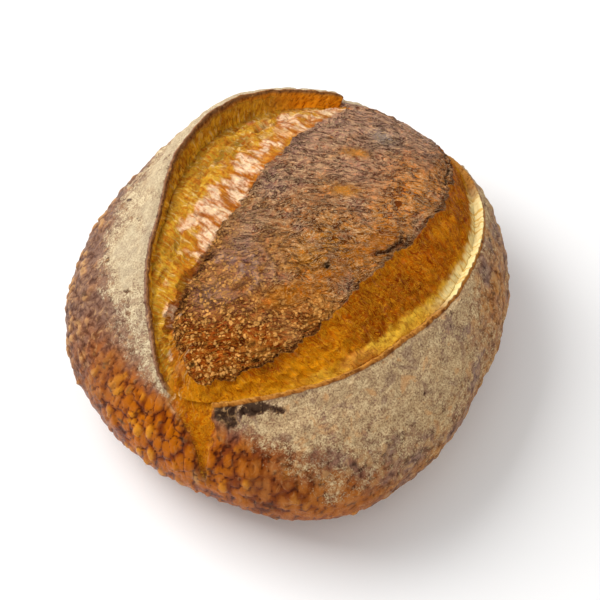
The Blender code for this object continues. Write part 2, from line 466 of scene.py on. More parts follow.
# %% Channel
FUNNEL = (
    (-0.50, -0.035, 0.070), (-0.575, -0.065, 0.072), (-0.635, -0.115, 0.060),
    (-0.69, -0.165, 0.040), (-0.78, -0.212, 0.018), (-0.93, -0.270, 0.012),
)
FUNNEL_DEPTH = 2.2
FAR = 9.0

away = np.hypot(pattern[:, 0], pattern[:, 1])
bearing = np.arctan2(pattern[:, 1], pattern[:, 0])
crown = region["crown"]
outer = ~(crown | torn | lip)


def near_path(path):
    """How far each point is from a line of joined points, in widths of the line."""
    nearest = np.full(len(pattern), FAR)
    for start, end in zip(path, path[1:]):
        start, end = np.array(start), np.array(end)
        leg = (end - start)[:2]
        along = np.clip((pattern - start[:2]) @ leg / (leg @ leg), 0, 1)
        gap = np.hypot(*(pattern - start[:2] - along[:, None] * leg).T)
        nearest = np.minimum(nearest, gap / (start[2] + (end[2] - start[2]) * along))
    return nearest


patches = bumps(place, 0.014, 3, 11)
fine_patches = bumps(place, 0.005, 3, 12)
funnel_near = near_path(FUNNEL) + 0.30 * fine_patches
channel = ease((1.35 - funnel_near) / 0.55) * ease((1.02 - away) / 0.16)
outside_scores = np.where(outer | lip, 1.0, 0.0)
tip_end = np.exp(-((turn - 0.533) / 0.041) ** 4)
print("the channel covers", int((channel > 0.5).sum()), "points")

# %% [markdown]
# ## Lumps, wrinkles and torn strands
#
# The dome is still as smooth as a balloon. Relief is added as a lift along each point's normal: broad lumps
# over the whole loaf, combed wrinkles on the crown, and a web of stretched strands over the torn dough,
# with soft pits between them. Teeth along the inner wall of the lip are moved sideways instead.

# %% Relief of the crown
COMB_BEARING = math.radians(-50)
KNUCKLE = (-0.17, 0.02, 0.085)
KNUCKLE_RINGS = (-0.19, 0.05, 0.0055)
HOLES = ((-0.02, -0.13, 0.0085, 2.6), (-0.48, -0.022, 0.008, 1.6))


def combed(points, size_along, size_across):
    """Turn points so that X runs along the combed wrinkles, ready for long thin noise."""
    cos, sin = math.cos(COMB_BEARING), math.sin(COMB_BEARING)
    along = points[:, 0] * cos + points[:, 1] * sin
    across = points[:, 1] * cos - points[:, 0] * sin
    return np.column_stack([along / size_along, across / size_across, points[:, 2] / size_across])


def spot(x, y, wide, tall=None, angle=0):
    """A soft round or oval spot on the pattern."""
    tall = tall or wide
    cos, sin = math.cos(math.radians(angle)), math.sin(math.radians(angle))
    along = (pattern[:, 0] - x) * cos + (pattern[:, 1] - y) * sin
    across = (pattern[:, 1] - y) * cos - (pattern[:, 0] - x) * sin
    return np.exp(-(along / wide) ** 2 - (across / tall) ** 2)


lumps = bumps(place, 0.045, 2, 1) * 1.5 + bumps(place, 0.016, 2, 2) * 0.5
swirl = 0.006 * np.column_stack([bumps(place, 0.020, 1, seed) for seed in (3, 4, 5)])
wrinkles = bumps(combed(place + swirl, 9 * MM, 3.2 * MM), 1.0, 3, 6)
ridges = 0.5 - np.abs(bumps(combed(place + swirl, 7 * MM, 4.2 * MM), 1.0, 2, 13))
ring_x, ring_y, ring_size = KNUCKLE_RINGS
ring_gap = np.hypot(pattern[:, 0] - ring_x, pattern[:, 1] - ring_y) + 0.01 * patches
rings = np.sin(ring_gap / ring_size)
knuckle = spot(*KNUCKLE)
crown_lift = wrinkles * 0.65 + ridges * 0.8 + knuckle * (3.4 + 0.6 * rings)
for x, y, wide, depth in HOLES:
    crown_lift -= depth * spot(x, y, wide)

right_side = ease((turn - 0.515) / 0.03)
left_side = 1 - right_side
on_left = turn < 0.51
crown_rim = np.where(crown, ease((crown_gap + 7) / 6), 0.0) * cut
fold_gap = np.where(crown, np.abs(crown_gap + 4.0 + 3.0 * ragged(turn, 0.010, 2, 14)), FAR)
fold_line = ease(1 - fold_gap / 2.0) * right_side * ease(ragged(turn, 0.022, 2, 15) * 3 + 0.3) * cut
crown_lift += crown_rim * (0.2 + 1.2 * ragged(turn, 0.007, 2, 7)) - fold_line * 1.5
print("the crown's wrinkles reach", round(float(np.abs(crown_lift[crown]).max()), 2), "mm")

# %% [markdown]
# Torn dough stretches until it parts into strands, with a pit wherever it gave way. A Voronoi pattern has
# both: its edges, where two seeds are equally near, make a web of fibres, and the middles of its cells sink
# as pits. A row of five soft pits under the ear is listed.

# %% Relief of the torn dough
SOFT_PITS = (
    (0.285, 0.330, 0.034, 3.0), (0.200, 0.350, 0.040, 3.0), (0.115, 0.370, 0.034, 2.6),
    (-0.030, 0.345, 0.026, 2.0), (-0.200, 0.245, 0.024, 1.8),
)
grain = np.column_stack([along_score, across_score, np.zeros(len(flat))])
swirl_along, swirl_across = (bumps(grain, 0.008, 1, seed) for seed in (16, 17))
grain_swirl = 0.002 * np.column_stack([swirl_along, swirl_across, np.zeros(len(flat))])
strands = bumps(grain + grain_swirl, (2.2 * MM, 12 * MM, 1), 3, 8)
clots = bumps(grain, (10 * MM, 8 * MM, 1), 2, 9)
web = np.zeros(len(flat))
pit_seeds = (grain + grain_swirl * 1.5) / np.array([9.0 * MM, 6.0 * MM, 1])
for index in np.flatnonzero(torn | lip):
    distances, _ = noise.voronoi(pit_seeds[index].tolist())
    web[index] = distances[1] - distances[0]
pits = ease(web / 0.60) * ease(bumps(grain, 0.016, 1, 18) * 1.5 + 0.8)
fibres = np.where(torn | lip, ease(1 - web / 0.16), 0.0)
near_lip = np.where(torn, torn_share, np.where(lip, 1.0, 0.0))
pit_room = near_lip * (1 - near_lip) * 4 * ease((near_lip - 0.15) / 0.3)
pit_depth = pits * pit_room * (0.5 + 1.9 * left_side)
torn_lift = strands * 0.6 + clots * 1.0 - pit_depth + fibres * pit_room * 0.5
soft_pits = np.zeros(len(flat))
for x, y, wide, depth in SOFT_PITS:
    soft_pits = np.maximum(soft_pits, depth * spot(x, y, wide, wide * 0.6, 35))
torn_lift -= soft_pits
torn_mask = np.where(torn, np.maximum(cut, tip_end), 0.0)
torn_mask = np.maximum(torn_mask, outside_scores * channel)
torn_mask = np.where(crown, left_side * ease((crown_gap + 11) / 3) * cut, torn_mask)
inner_wall = np.where(lip, ease((0.85 - section[row, 0]) / 0.35), 0.0) * cut
low_wall = np.where(lip, ease((0.82 + 0.15 * strands - section[row, 1]) / 0.20), 0.0)
low_wall = low_wall * ease((turn - 0.17) / 0.07)
low_wall *= cut * left_side
high_wall = inner_wall * (1 - low_wall)
torn_mask = np.maximum(torn_mask, low_wall)
wall_teeth = bumps(grain, (2.2 * MM, 3.5 * MM, 1), 2, 10) * 0.8 * MM
grounded = 1 - ease((away - 1.30) / 0.28)
print("the pits reach", round(float(pit_depth.max()), 2), "mm")

# %% [markdown]
# ## Blisters
#
# Steam trapped under the wet skin raises blisters, and they crowd together low on the side where the loaf
# was wettest. Crowded bubbles share the room like the cells of a Voronoi pattern: each point belongs to its
# nearest seed, a blister is highest over its seed, and a crease runs where two seeds are equally near. Each
# blister gets its own height from one random number.

# %% Blister cells
BIG_BLISTER = (4.6 * MM, 13.0 * MM)
SMALL_BLISTER = (4.4 * MM, 6.4 * MM)
BLISTER_SIDE = math.radians(186)
SECOND_SIDE = math.radians(222)
FLANK_SIDE = math.radians(128)
CHANCE_STEP = 31.7


def facing(middle, spread):
    """1 on the side of the loaf at a bearing, fading out at this spread."""
    return np.exp(-(np.angle(np.exp(1j * (bearing - middle))) / math.radians(spread)) ** 4)


def between(values, low_end, high_end, fade):
    """1 where values lie between two ends, with soft edges."""
    return ease((values - low_end) / fade + 0.5) * ease((high_end - values) / fade + 0.5)


def blister_cells(size, seed, wanted):
    """For each wanted point: height on its blister, clearance of the crease, and the blister's chance."""
    spots = np.column_stack([
        np.cos(bearing) * RADIUS / size[0],
        np.sin(bearing) * RADIUS / size[0],
        away * PATTERN_METRES / size[1],
    ]) + seed + 0.25 * np.column_stack([fine_patches, patches, -fine_patches])
    pillow = np.zeros(len(flat))
    clear = np.zeros(len(flat))
    chance = np.zeros(len(flat))
    for index in np.flatnonzero(wanted):
        distances, seeds = noise.voronoi(spots[index].tolist())
        pillow[index] = 1 - (distances[0] / 0.8) ** 2
        clear[index] = distances[1] - distances[0]
        chance[index] = noise.cell(seeds[0] * CHANCE_STEP)
    return np.clip(pillow, 0, 1), np.clip(clear / 0.22, 0, 1), chance


below_lip = ease((away - 0.58) / 0.12) * ease((1.40 - away) / 0.2) * np.where(outer, 1, 0)
second_zone = facing(SECOND_SIDE, 18) * 0.8 * ease((away - 0.74) / 0.1)
big_zone = np.maximum(facing(BLISTER_SIDE, 33), second_zone) * below_lip
big_zone *= 1 - channel
small_zone = np.where(outer, 1, 0) * ease((away - 0.50) / 0.25) * (1 - big_zone) * grounded * (1 - channel)

big_pillow, big_clear, big_chance = blister_cells(BIG_BLISTER, 3.1, big_zone > 0.01)
small_pillow, small_clear, small_chance = blister_cells(SMALL_BLISTER, 8.7, small_zone > 0.01)
blister_lift = big_zone * (big_pillow * (0.5 + 1.0 * big_chance) + 0.45 * ease(big_clear))
flank = facing(FLANK_SIDE, 44) * between(away, 0.62, 1.30, 0.2)
small_rise = small_pillow * (0.2 + 0.9 * small_chance) * (1 + 0.5 * flank)
blister_lift += small_zone * (small_rise + 0.25 * ease(small_clear))
blister = np.where(big_zone > small_zone, big_clear, small_clear * 0.8)
blister_top = big_zone * big_pillow + small_zone * small_pillow * np.clip(small_chance * 1.4, 0, 1)
print("blisters reach", round(float(blister_lift.max()), 2), "mm")

# %% [markdown]
# ## The finished shape
#
# All lifts are summed in millimetres, faded out over the flat foot, and set on the mesh in one go.

# %% Set the shape
CRUMB = (-0.165, -0.368, 0.060, 0.026, -32)

relief = lumps * np.where(lip, 0.4, 1) + blister_lift - outside_scores * channel * FUNNEL_DEPTH
torn_relief = torn_lift * torn_mask + crown_lift * (1 - torn_mask)
relief += np.where(crown, crown_lift, 0) + np.where(torn, torn_relief, 0)
relief += np.where(torn, left_side * crown_lift * ease((7 - crown_gap) / 7) * 0.8, 0)
relief += channel * outside_scores * (strands * 0.5 + clots * 0.6)
relief += np.where(torn, spot(*CRUMB) * (1.6 + 2.0 * fine_patches), 0)
relief += np.where(outer, 1, 0) * fine_patches * 0.35
place, normal = dome(pattern)
shape = place + normal * (lift + relief * grounded * MM)[:, None]
shape += inward * (lean + wall_teeth * inner_wall)[:, None]
shape[:, 2] = np.clip(shape[:, 2], 0, None)
crust.vertices.foreach_set("co", shape.ravel())

skin = bmesh.new()
skin.from_mesh(crust)
bmesh.ops.recalc_face_normals(skin, faces=skin.faces)
skin.to_mesh(crust)
skin.free()
crust.shade_smooth()
loaf = bpy.data.objects.new("loaf_crust", crust)
bpy.context.scene.collection.objects.link(loaf)
print("crust is", [round(float(side_length) / MM) for side_length in loaf.dimensions], "mm")

# %% [markdown]
# ## Painting the bake
#
# How brown the crust is depends on where it is: the crown caught the most heat, dough that tore open late
# stayed golden, and flour from the proofing basket kept two wide bands pale. Those broad colours are
# painted on the points, one soft spot or band over another, as with a large brush. The fine patterns come
# later, in the finish.

# %% Brushes
FRONT_SIDE = math.radians(255)
DARK_SIDE = math.radians(148)

tint = np.tile(np.array([0.34, 0.185, 0.110]), (len(flat), 1))


def paint(mask, colour, strength=1.0):
    """Lay a colour over the tint where the mask is 1."""
    cover = (np.clip(mask, 0, 1) * strength)[:, None]
    tint[:] = tint * (1 - cover) + np.array(colour) * cover


def mean_tint(points):
    """The average painted colour of a group of points."""
    return [round(float(part), 2) for part in tint[points].mean(0)]


print("bare crust is", mean_tint(outer))

# %% [markdown]
# ### The side
#
# Low on the side the sugars browned most. The big blisters are amber on their tops, and their creases are
# darkened to mahogany as painted shade. The flank beside the ear stayed a dull grey-brown, and one corner of
# flour at the pointed end scorched black.

# %% The side
paint(between(away, 0.95, 1.5, 0.3), (0.33, 0.105, 0.006))
paint(spot(0.40, -0.66, 0.30, 0.16, 35) * ease(patches + 0.8), (0.50, 0.205, 0.055), 0.85)
warm_front = facing(FRONT_SIDE, 38) * between(away, 1.0, 1.5, 0.2)
paint(warm_front * ease(patches * 2 + 0.7), (0.46, 0.195, 0.035), 0.8)
paint(ease((away - 1.35) / 0.3), (0.26, 0.125, 0.05))
paint(ease(patches * 2.2 - 0.2) * between(away, 0.6, 1.3, 0.2), (0.48, 0.19, 0.035), 0.8)
paint(ease(-patches * 2.2 - 0.2) * between(away, 0.5, 1.2, 0.2), (0.28, 0.17, 0.13), 0.75)
grey_side = facing(FLANK_SIDE, 40) * between(away, 0.3, 1.25, 0.3)
paint(grey_side, (0.22, 0.120, 0.078), 0.92)
paint(grey_side * ease(fine_patches * 2 - 0.5), (0.32, 0.120, 0.030), 0.55)
# On the flank the small blisters get pale tops, partly their own paler crust and partly painted highlight,
# and their creases are darkened as painted shade.
paint(flank * ease(small_pillow * small_chance * 2.6 - 0.5), (0.42, 0.185, 0.075), 0.7)
paint(flank * (1 - ease(small_clear)), (0.15, 0.060, 0.035), 0.6)
# Painted shade: the big-blister zone is laid dark first, and it stays dark in the creases between the amber
# tops.
paint(big_zone, (0.19, 0.030, 0.0), 0.98)
paint(big_zone * ease(big_pillow * 1.7 - 0.25), (0.46, 0.118, 0.0), 0.95)
paint(big_zone * ease(big_chance * 3 - 1.6) * ease(big_pillow * 1.6 - 0.5), (0.64, 0.25, 0.012), 0.8)
paint(big_zone * facing(DARK_SIDE, 18), (0.16, 0.050, 0.016), 0.6)
# Painted shade: in these two spots the dough between the pillows is darkened further.
paint(spot(-0.62, -0.42, 0.17, 0.12) * ease(1.1 - big_pillow), (0.17, 0.028, 0.001), 0.95)
paint(spot(-0.70, -0.54, 0.24, 0.15) * ease(1.1 - big_pillow), (0.17, 0.028, 0.001), 0.9)
paint(spot(-0.50, -0.62, 0.20, 0.14) * ease(0.6 + patches), (0.40, 0.110, 0.004), 0.6)

burnt = np.maximum(spot(-0.540, -0.183, 0.068, 0.054, -40), spot(-0.475, -0.240, 0.062, 0.024, -40))
burnt = ease(burnt * 2.3 + 1.5 * fine_patches - 0.6) * np.where(torn, 0, 1) * (1 - channel)
paint(burnt, (0.055, 0.030, 0.018), 1.0)
print("the side is", mean_tint(outer))

# %% [markdown]
# ### The torn dough
#
# Dough that tore open late is golden. Under the ear it was stretched furthest, so it is streaked with amber;
# the pale pinkish streaks beside the crown are painted highlight, and its pits and the foot of its groove are
# darkened as painted shade. The right score tore less, and is a plainer, deeper orange, and its bright rim
# near the lip is partly paler dough and partly painted highlight.

# %% The dough under the ear
torn_left = torn_mask * left_side
off_crown = ease((near_lip - 0.2) / 0.3)
paint(torn_left, (0.54, 0.270, 0.018))
paint(torn_left * ease(clots * 1.5 + 0.3), (0.50, 0.155, 0.004), 0.6)
# Painted shade: the pits of the torn dough are darkened to olive-brown.
paint(torn_left * ease(pits * 1.6 * off_crown), (0.29, 0.135, 0.007), 0.9)
paint(torn_left * fibres * off_crown * ease(strands + 0.7), (0.72, 0.42, 0.05), 0.6)
# Painted shade: a darker olive band at the foot of the groove, under the ear.
paint(torn_left * between(near_lip, 0.82, 0.97, 0.08), (0.30, 0.14, 0.010), 0.5)
paint(spot(0.03, 0.385, 0.045, 0.012, 35) * torn_mask, (0.13, 0.045, 0.030), 0.95)
paint(np.where(torn, between(near_lip, 0.45, 1.2, 0.3), 0) * left_side, (0.60, 0.330, 0.030), 0.45)

# Beside the crown the streaks get pale pinkish patches, which are painted highlight.
streaky = ease((0.50 - near_lip) / 0.30 + strands * 0.5 + patches * 1.8)
pale_sheen = ease(strands * 2.5 + patches * 2.6 + fine_patches + 0.2)
paint(torn_left * streaky, (0.56, 0.185, 0.018), 0.95)
paint(torn_left * streaky * pale_sheen, (0.92, 0.68, 0.46), 0.85)
paint(torn_left * streaky * ease(-strands * 2.5 - 0.1), (0.30, 0.065, 0.004), 0.8)
# Painted shade: the five soft pits are darkened on their floors.
shaded_pit_floors = np.where(torn | lip, ease(soft_pits / 1.8 - 0.1 + clots * 0.5), 0)
paint(shaded_pit_floors * left_side, (0.23, 0.125, 0.014), 0.9)
paint(torn_mask * spot(0.38, 0.24, 0.15, 0.10) * ease(fine_patches * 2.5 + 0.3), (0.86, 0.60, 0.36), 0.8)
print("the dough under the ear is", mean_tint(torn & on_left))

# %% The dough of the right score
torn_right = torn_mask * right_side
paint(torn_right, (0.44, 0.100, 0.0))
paint(torn_right * ease(-patches * 2.2 - 0.1), (0.25, 0.046, 0.0), 0.8)
paint(torn_right * ease(patches * 2.2 - 0.2), (0.50, 0.155, 0.002), 0.6)
paint(torn_right * spot(-0.02, -0.31, 0.12, 0.07, -15), (0.26, 0.052, 0.0), 0.85)
tip_dough = torn_right * ease((0.70 - turn) / 0.06)
paint(tip_dough * ease((near_lip - 0.1) / 0.3 + patches), (0.64, 0.225, 0.002), 0.85)
# Near the lip the right dough turns bright yellow, with a bright rim and a cream rib band on the lip: partly
# paler, less baked dough and partly painted highlight.
paint(torn_right * ease((near_lip - 0.70) / 0.2 + clots * 0.8), (0.68, 0.31, 0.010), 0.75)
bright_rim = torn_right * between(turn, 0.64, 0.77, 0.06)
paint(bright_rim * ease((near_lip - 0.72) / 0.15 + fine_patches), (0.98, 0.60, 0.060), 0.8)

upper_lip = np.where(lip, between(section[row, 0], 0.05, 0.62, 0.1), 0.0)
rim_dough = np.where(torn, ease((near_lip - 0.79 - 0.08 * strands) / 0.12), 0)
rib_band = between(turn, 0.748, 0.888, 0.035) * np.maximum(rim_dough, upper_lip)
paint(rib_band, (0.94, 0.76, 0.36))
paint(torn_mask * channel, (0.50, 0.140, 0.0), 0.9)
paint(torn_mask * tip_end * np.where(torn, 1, 0), (0.52, 0.175, 0.002), 0.8)
paint(spot(-0.885, -0.262, 0.035, 0.018, 22), (0.10, 0.03, 0.008))
paint(spot(-0.935, -0.235, 0.05, 0.014, 22), (0.66, 0.34, 0.10), 0.8)
print("the dough of the right score is", mean_tint(torn & ~on_left))

# %% The lips
crest_start, crest_end = np.where(on_left, 0.30, 0.56), np.where(on_left, 0.62, 1.35)
crest = np.where(lip, between(section[row, 0], crest_start, crest_end, 0.2), 0.0) * cut
paint(high_wall * left_side, (0.34, 0.110, 0.012))
paint(high_wall * left_side * between(turn, 0.1, 0.24, 0.06), (0.86, 0.29, 0.008))
paint(high_wall * left_side * ease((section[row, 1] - 0.74) / 0.2), (0.20, 0.060, 0.010), 0.85)
paint(inner_wall * right_side * (1 - np.clip(rib_band, 0, 1)), (0.50, 0.22, 0.04))
paint(low_wall * ease(0.9 - pits), (0.96, 0.50, 0.025), 0.90)
paint(low_wall * ease(0.25 + clots - fibres * 0.5), (0.40, 0.200, 0.012), 0.5)
paint(crest * left_side, (0.15, 0.070, 0.030), 0.9)
paint(crest * right_side, (0.42, 0.150, 0.018), 0.9)
paint(crest * right_side * ease(fine_patches * 3 - 0.4), (0.12, 0.030, 0.006), 0.8)
crumb = ease(spot(*CRUMB) * 2 + clots * 0.5 - 0.4) * np.where(torn | lip, 1, 0)
paint(crumb, (0.60, 0.235, 0.035), 0.9)
print("the lips are", mean_tint(lip))

# %% [markdown]
# ### The crown
#
# The crown is painted on its own copy of the tint, because its edge is drawn in the finish: there the two
# tints lie over each other and fine noise chooses between them. It runs from near black at the pointed end
# to a dusty rose-brown, with a grey knuckle of dough, golden patches and a dark seam along the score.

# %% The bake of the crown
crown_soft = np.clip(0.5 - (crown_gap - 1.5 * left_side) / (2.0 * right_side + 13 * left_side), 0, 1)
crown_mask = np.where(crown | torn, crown_soft, 0.0) * np.maximum(cut, tip_end)
crown_mask = np.maximum(crown_mask, np.where(crown | torn, 1 - np.maximum(cut, tip_end), 0))
bloom_tint = tint
tint = crown_tint = tint.copy()
paint(np.where(crown_mask > 0.02, 1.0, 0.0), (0.33, 0.120, 0.030))
paint(ease((pattern[:, 0] - 0.02) / 0.30), (0.44, 0.225, 0.140))
paint(ease((-0.07 - pattern[:, 0] + 0.14 * patches) / 0.20), (0.24, 0.040, 0.001))
low_half = ease((-0.10 - pattern[:, 1] + 0.1 * patches) / 0.08)
paint(low_half * ease((pattern[:, 0] + 0.2) / 0.2), (0.38, 0.125, 0.010), 0.85)
paint(spot(0.0, -0.09, 0.17, 0.06, -20) * ease(patches + 0.9), (0.44, 0.150, 0.002), 0.9)
paint(knuckle * ease(0.9 + fine_patches) * 1.2, (0.22, 0.110, 0.095), 0.95)
paint(knuckle * ease(rings * 1.2 + 0.6 * fine_patches - 0.3), (0.62, 0.40, 0.28), 0.60)
paint(spot(-0.26, 0.06, 0.07, 0.05), (0.33, 0.19, 0.13), 0.8)
paint(spot(0.05, 0.11, 0.16, 0.05, 10), (0.27, 0.155, 0.115), 0.7)
paint(ease(patches * 2 - 0.3), (0.44, 0.170, 0.030), 0.5)
paint(ease(-patches * 2 - 0.3) * ease((pattern[:, 0] + 0.2) / 0.1), (0.25, 0.125, 0.095), 0.75)
print("the crown is", mean_tint(crown))

# %% Patches and holes on the crown
GOLDEN_PATCHES = (
    (-0.14, -0.10, 0.10, 0.035, -35), (-0.03, -0.155, 0.07, 0.04, -20), (0.10, -0.20, 0.10, 0.045, -10),
)
OCHRE_SPOTS = ((0.18, -0.03), (0.32, 0.03))

golden = np.zeros(len(flat))
for golden_patch in GOLDEN_PATCHES:
    golden = np.maximum(golden, spot(*golden_patch) * ease(fine_patches + 0.85))
paint(golden * 1.4, (0.33, 0.095, 0.001), 0.95)
paint(spot(0.34, -0.14, 0.18, 0.09, 10), (0.72, 0.235, 0.022), 0.75)
paint(spot(0.54, -0.166, 0.05, 0.022, 20) * 1.4, (0.42, 0.125, 0.008), 0.9)
for x, y in OCHRE_SPOTS:
    paint(spot(x, y, 0.05, 0.022, -45) * 1.4, (0.42, 0.155, 0.010), 0.9)
smooth = np.clip(spot(0.18, -0.03, 0.05, 0.024, -45) + spot(0.32, 0.03, 0.045, 0.022, -45), 0, 1)
smooth = np.maximum(smooth, np.maximum(knuckle * 0.45, golden * 0.8))
paint(spot(0.47, 0.02, 0.042) * 1.3, (0.24, 0.20, 0.18), 0.8)
print("patches cover", int((golden > 0.5).sum()), "points")

# %% The edge of the crown
EDGE_SCAR = ((-0.17, 0.125, 0.012), (-0.28, 0.130, 0.020), (-0.36, 0.105, 0.024), (-0.43, 0.105, 0.014))

left_edge = ease((crown_gap + 6) / 6) * between(turn, 0.29, 0.48, 0.05)
paint(left_edge * ease(ragged(turn, 0.012, 2, 19) + 0.9), (0.13, 0.052, 0.020), 0.8)
right_edge = ease((crown_gap + 3) / 3) * right_side * cut
paint(right_edge * ease(ragged(turn, 0.02, 2, 20) + 0.7), (0.15, 0.052, 0.014), 0.8)
paint(fold_line, (0.09, 0.030, 0.010), 0.9)
# Painted shade: the holes are shallow dips, painted near black where they would lie in shade.
for x, y, wide, depth in HOLES:
    paint(spot(x, y, wide * 1.1) * 1.5, (0.02, 0.012, 0.008))

seam = ease((crown_gap + 3.2) / 2.0) * right_side * cut
seam = seam * ease(ragged(turn, 0.015, 3, 20) * 2 + 0.75) * np.where(crown, 1, 0)
scar = ease(1.5 - near_path(EDGE_SCAR) - 0.8 * fine_patches)
seam = np.maximum(np.maximum(seam, fold_line), scar)
tint = bloom_tint
print("the seam covers", int((seam > 0.5).sum()), "points")

# %% [markdown]
# ## Flour
#
# The basket left flour beside both cuts. How far it reaches down the side is one more number for each
# station. Next to the lip it is almost solid, and further down only specks of it are left.

# %% Flour bands
FLOUR_REACH = (26, 30, 30, 32, 34, 32, 27, 18, 3, 2, 50, 78, 82, 56, 30, 20)

flour_reach = np.clip(around(FLOUR_REACH, turn), 1, None) * MM
flour = np.where(outer | (ring == last_ring["lip"]), 1.0, 0.0)
flour *= np.clip(1.25 - gone / flour_reach * (1 - 0.12 * left_side) + 0.16 * patches, 0, 1.1) * (1 - channel)
flour *= 1 - burnt
flour *= 1 - 0.35 * between(turn, 0.41, 0.52, 0.05)
flour *= 1 - 0.80 * spot(0.42, -0.60, 0.28, 0.16, 35)
flour += np.where(outer, spot(-0.605, -0.655, 0.06, 0.035, 40) * 0.6, 0)
flour *= np.where(on_left, 1.0, 0.86) + 0.45 * patches
flour[crown | torn] = 0
foot_dust = ease((away - 1.5) / 0.15) * 0.55
print("flour covers", round(float((flour > 0.5).mean() * 100)), "percent of the points")

# %% [markdown]
# The masks are kept on the mesh as named attributes, and the grain lengths as a UV map. A UV map belongs to
# the corners of faces, so the faces that close the circle can carry the full length instead of falling back
# to 0.

# %% Keep the masks
def keep(name, values):
    """Store one number for each point."""
    layer = crust.attributes.new(name, "FLOAT", "POINT")
    layer.data.foreach_set("value", values.astype(np.float32))


def keep_colour(name, colours):
    """Store one colour for each point."""
    layer = crust.attributes.new(name, "FLOAT_COLOR", "POINT")
    opaque = np.column_stack([colours, np.ones(len(flat))])
    layer.data.foreach_set("color", opaque.astype(np.float32).ravel())


masks = {
    "crown": crown_mask,
    "torn": torn_mask,
    "wall": np.maximum(high_wall, crest),
    "flour": np.maximum(flour, foot_dust),
    "blister": blister,
    "blister_top": np.clip(blister_top, 0, 1),
    "blistered": np.clip(big_zone + small_zone * 0.6, 0, 1),
    "big_blistered": big_zone,
    "ribs": rib_band,
    "dots": ease((0.06 - pattern[:, 0] + 0.12 * patches) / 0.34),
    "left": left_side,
    "smooth": smooth,
    "seam": seam,
}
for name, values in masks.items():
    keep(name, values)
keep_colour("tint", tint)
keep_colour("crown_tint", crown_tint)
print("kept", len(masks), "masks and 2 tints")

# %% Keep the grain map
corner_point = np.empty(len(crust.loops), int)
crust.loops.foreach_get("vertex_index", corner_point)
face_start = np.empty(len(crust.polygons), int)
crust.polygons.foreach_get("loop_start", face_start)
corner_along = along_score[corner_point]
face_of_corner = np.repeat(np.arange(len(face_start)), np.diff(np.append(face_start, len(corner_point))))
face_top = np.maximum.reduceat(corner_along, face_start)[face_of_corner]
corner_along = np.where(face_top - corner_along > SCORE_LENGTH / 2, corner_along + SCORE_LENGTH, corner_along)
grain_map = crust.uv_layers.new(name="grain")
grain_uvs = np.column_stack([corner_along, across_score[corner_point]])
grain_map.data.foreach_set("uv", grain_uvs.astype(np.float32).ravel())
print("the grain map covers", len(grain_uvs), "face corners")

# %% [markdown]
# ## A way to write finishes
#
# A finish is a net of nodes, and sums are easier to read than nets. An Amount is a number that varies over
# the crust: adding or multiplying Amounts adds Math nodes behind the scenes.

# %% Amounts and finishes
class Amount:
    """A socket whose value varies over the surface and takes part in ordinary sums."""

    def __init__(self, finish, socket):
        self.finish = finish
        self.socket = socket

    def sum(self, operation, first, second):
        return self.finish.node("ShaderNodeMath", {"operation": operation}, {0: first, 1: second})

    def __add__(self, other):
        return self.sum("ADD", self, other)

    def __sub__(self, other):
        return self.sum("SUBTRACT", self, other)

    def __rsub__(self, other):
        return self.sum("SUBTRACT", other, self)

    def __mul__(self, other):
        return self.sum("MULTIPLY", self, other)

    def __abs__(self):
        return self.sum("ABSOLUTE", self, 0)

    __radd__ = __add__
    __rmul__ = __mul__


